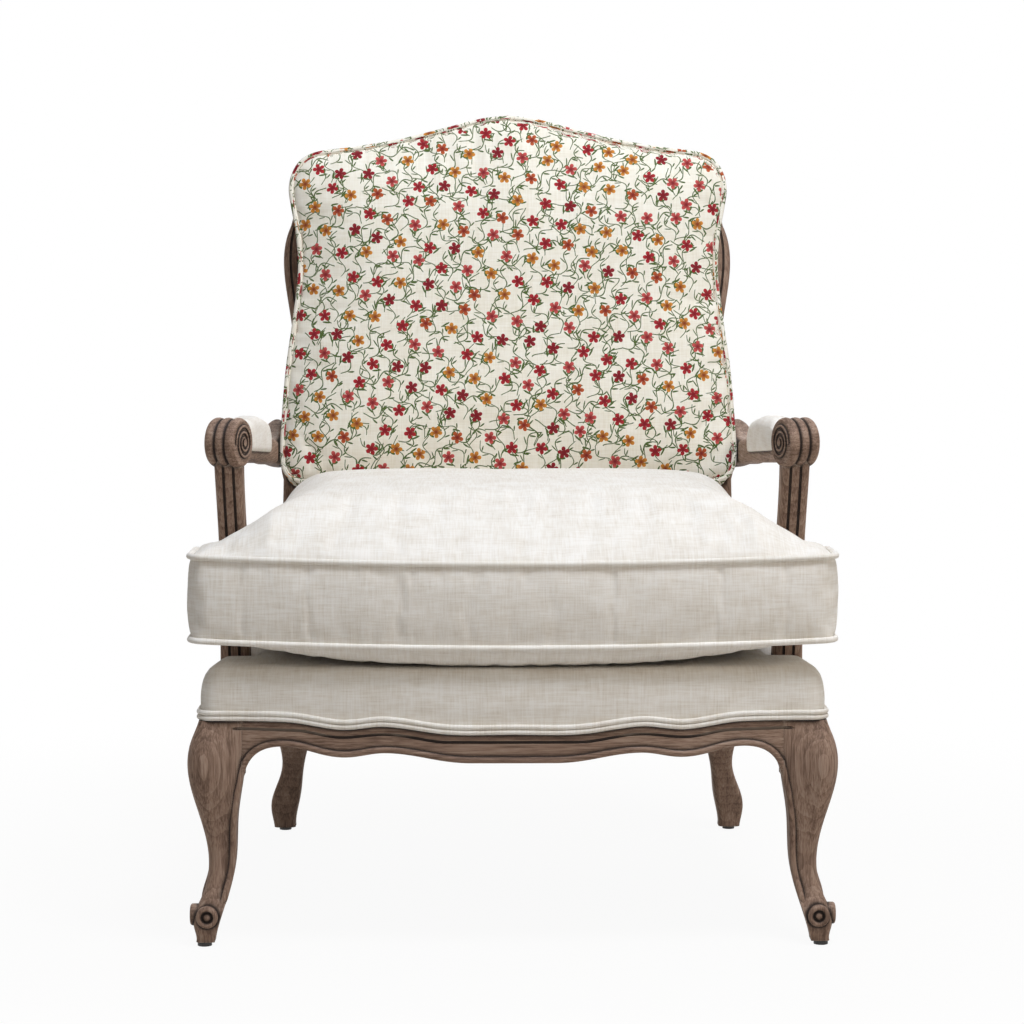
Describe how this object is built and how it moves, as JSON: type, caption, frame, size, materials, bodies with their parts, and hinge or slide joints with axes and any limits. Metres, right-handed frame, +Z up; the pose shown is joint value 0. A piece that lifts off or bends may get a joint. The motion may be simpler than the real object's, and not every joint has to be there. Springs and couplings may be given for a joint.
{
  "type": "French provincial upholstered armchair",
  "caption": "French provincial armchair with a weathered oak frame, cabriole legs, scrolled arms, a loose cream seat cushion and a printed back cushion.",
  "frame": {"origin": "on the floor, under the middle of the chair's bounding box", "axes": "+Z up, +X to the right of someone facing the chair's front, -Y towards the front"},
  "size_m": [0.7664, 0.7697, 1.0058],
  "materials": {
    "weathered_oak": "matt, limed and wire-brushed",
    "beech": "bare",
    "cream_linen": "plain weave",
    "printed_linen": "plain weave, printed",
    "foam": "open cell",
    "jute_webbing": "coarse weave",
    "dust_cloth": "bonded cloth",
    "steel": "zinc plated",
    "dark_glide": "satin"
  },
  "bodies": {
    "frame": {"front_leg_left": "weathered_oak", "front_leg_right": "weathered_oak", "back_post_left": "weathered_oak", "back_post_right": "weathered_oak", "side_rail_left": "weathered_oak", "side_rail_right": "weathered_oak", "front_rail": "weathered_oak", "back_rail": "weathered_oak", "crest_rail": "weathered_oak", "stay_rail": "weathered_oak", "arm_left": "weathered_oak", "arm_right": "weathered_oak", "arm_support_left": "weathered_oak", "arm_support_right": "weathered_oak", "arm_pad_left": "cream_linen", "arm_pad_right": "cream_linen", "rail_dowels": "beech", "back_dowels": "beech", "arm_dowels": "beech", "corner_blocks": "beech", "corner_block_screws": "steel", "foot_glides": "dark_glide", "seat_webbing_lengthwise": "jute_webbing", "seat_webbing_crosswise": "jute_webbing", "seat_hessian": "jute_webbing", "back_webbing": "jute_webbing", "deck_pad": "foam", "deck_cover": "cream_linen", "deck_double_welt": "cream_linen", "dust_cover": "dust_cloth", "inside_back_panel": "cream_linen", "outside_back_panel": "cream_linen"},
    "seat_cushion": {"seat_cushion_core": "foam", "seat_cushion_cover": "cream_linen", "seat_cushion_welts": "cream_linen"},
    "back_cushion": {"back_cushion_core": "foam", "back_cushion_cover": "printed_linen", "back_cushion_welts": "printed_linen"}
  },
  "joints": [
    {"name": "seat_cushion_slide", "type": "slide", "parent": "frame", "child": "seat_cushion", "axis": [0, -1, 0], "range_m": [0, 0.6]},
    {"name": "back_cushion_lift", "type": "slide", "parent": "frame", "child": "back_cushion", "axis": [0, 0.165, 0.9863], "range_m": [0, 0.45]}
  ]
}
